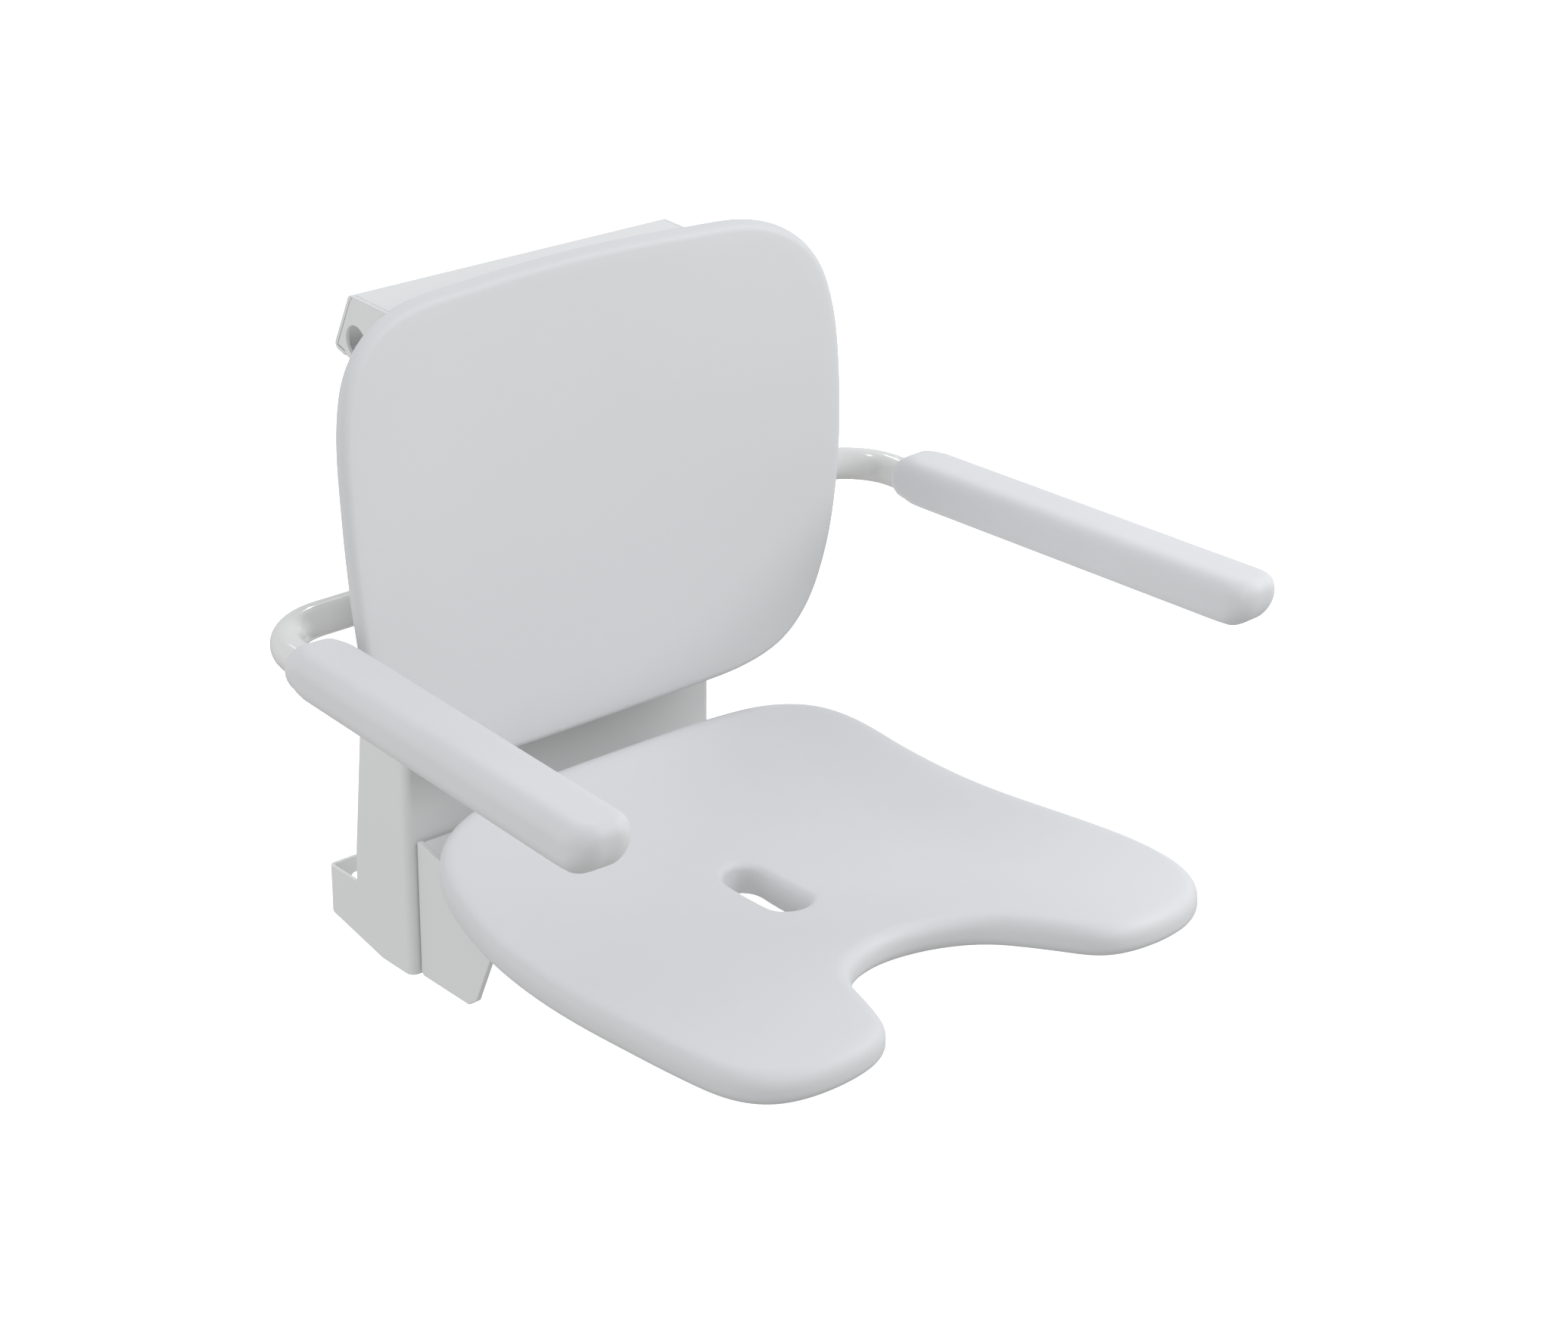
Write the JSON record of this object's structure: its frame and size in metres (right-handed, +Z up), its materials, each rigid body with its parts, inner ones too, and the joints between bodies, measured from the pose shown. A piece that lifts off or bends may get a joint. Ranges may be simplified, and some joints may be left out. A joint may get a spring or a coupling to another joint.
{
  "type": "wall-hung folding shower seat",
  "caption": "Wall-hung shower seat: dished fold-up seat with front notch and drain slot, curved backrest and fold-up padded armrests on a steel back frame.",
  "frame": {"origin": "middle of the wall foot's rear face, where the foot rests on the wall", "axes": "+Y into the wall, +Z up; the sitter faces -Y, and X = 0 is the plane of symmetry"},
  "size_m": [0.634, 0.5924, 0.5474],
  "materials": {
    "frame_coat": "satin powder coat, pale grey white",
    "hinge_coat": "satin powder coat, pale grey",
    "shell": "fine matt moulded surface, pale grey",
    "arm_gloss": "gloss coat, white",
    "arm_pad": "soft matt foam skin, pale grey",
    "grey_plastic": "satin",
    "buffer_rubber": "matt",
    "fastener": "satin stainless"
  },
  "bodies": {
    "base": {"back_frame": "frame_coat", "hanger_profile": "frame_coat", "hanger_cap_left": "frame_coat", "hanger_cap_right": "frame_coat", "hanger_glide": "grey_plastic", "hanger_bolt_1": "fastener", "hanger_bolt_2": "fastener", "backrest_shell": "shell", "backrest_spacer_1": "grey_plastic", "backrest_spacer_2": "grey_plastic", "backrest_spacer_3": "grey_plastic", "backrest_spacer_4": "grey_plastic", "backrest_bolt_1": "fastener", "backrest_bolt_2": "fastener", "backrest_bolt_3": "fastener", "backrest_bolt_4": "fastener", "seat_housing": "hinge_coat", "housing_bolt_1": "fastener", "housing_bolt_2": "fastener", "housing_bolt_3": "fastener", "housing_bolt_4": "fastener", "hinge_axle": "fastener", "axle_cap_left": "grey_plastic", "axle_cap_right": "grey_plastic", "rest_buffer_left": "buffer_rubber", "rest_buffer_right": "buffer_rubber", "arm_bearing_left": "grey_plastic", "arm_bearing_right": "grey_plastic", "bearing_bolt_1": "fastener", "bearing_bolt_2": "fastener", "bearing_bolt_3": "fastener", "bearing_bolt_4": "fastener", "arm_stop_left": "hinge_coat", "arm_stop_right": "hinge_coat"},
    "seat": {"seat_shell": "shell", "seat_carrier": "hinge_coat", "seat_screw_left_1": "fastener", "seat_screw_left_2": "fastener", "seat_screw_right_1": "fastener", "seat_screw_right_2": "fastener", "hinge_washer_left": "grey_plastic", "hinge_washer_right": "grey_plastic"},
    "arm_left": {"arm_tube_left": "arm_gloss", "arm_pad_left": "arm_pad", "arm_plug_left": "grey_plastic", "arm_collar_left": "hinge_coat"},
    "arm_right": {"arm_tube_right": "arm_gloss", "arm_pad_right": "arm_pad", "arm_plug_right": "grey_plastic", "arm_collar_right": "hinge_coat"}
  },
  "joints": [
    {"name": "seat_fold", "type": "hinge", "parent": "base", "child": "seat", "pos_m": [0, -0.185, 0.091], "axis": [-1, 0, 0], "range_deg": [0, 87]},
    {"name": "arm_left_fold", "type": "hinge", "parent": "base", "child": "arm_left", "pos_m": [0, -0.1262, 0.2903], "axis": [-1, 0, 0], "range_deg": [0, 90]},
    {"name": "arm_right_fold", "type": "hinge", "parent": "base", "child": "arm_right", "pos_m": [0, -0.1262, 0.2903], "axis": [-1, 0, 0], "range_deg": [0, 90]}
  ]
}
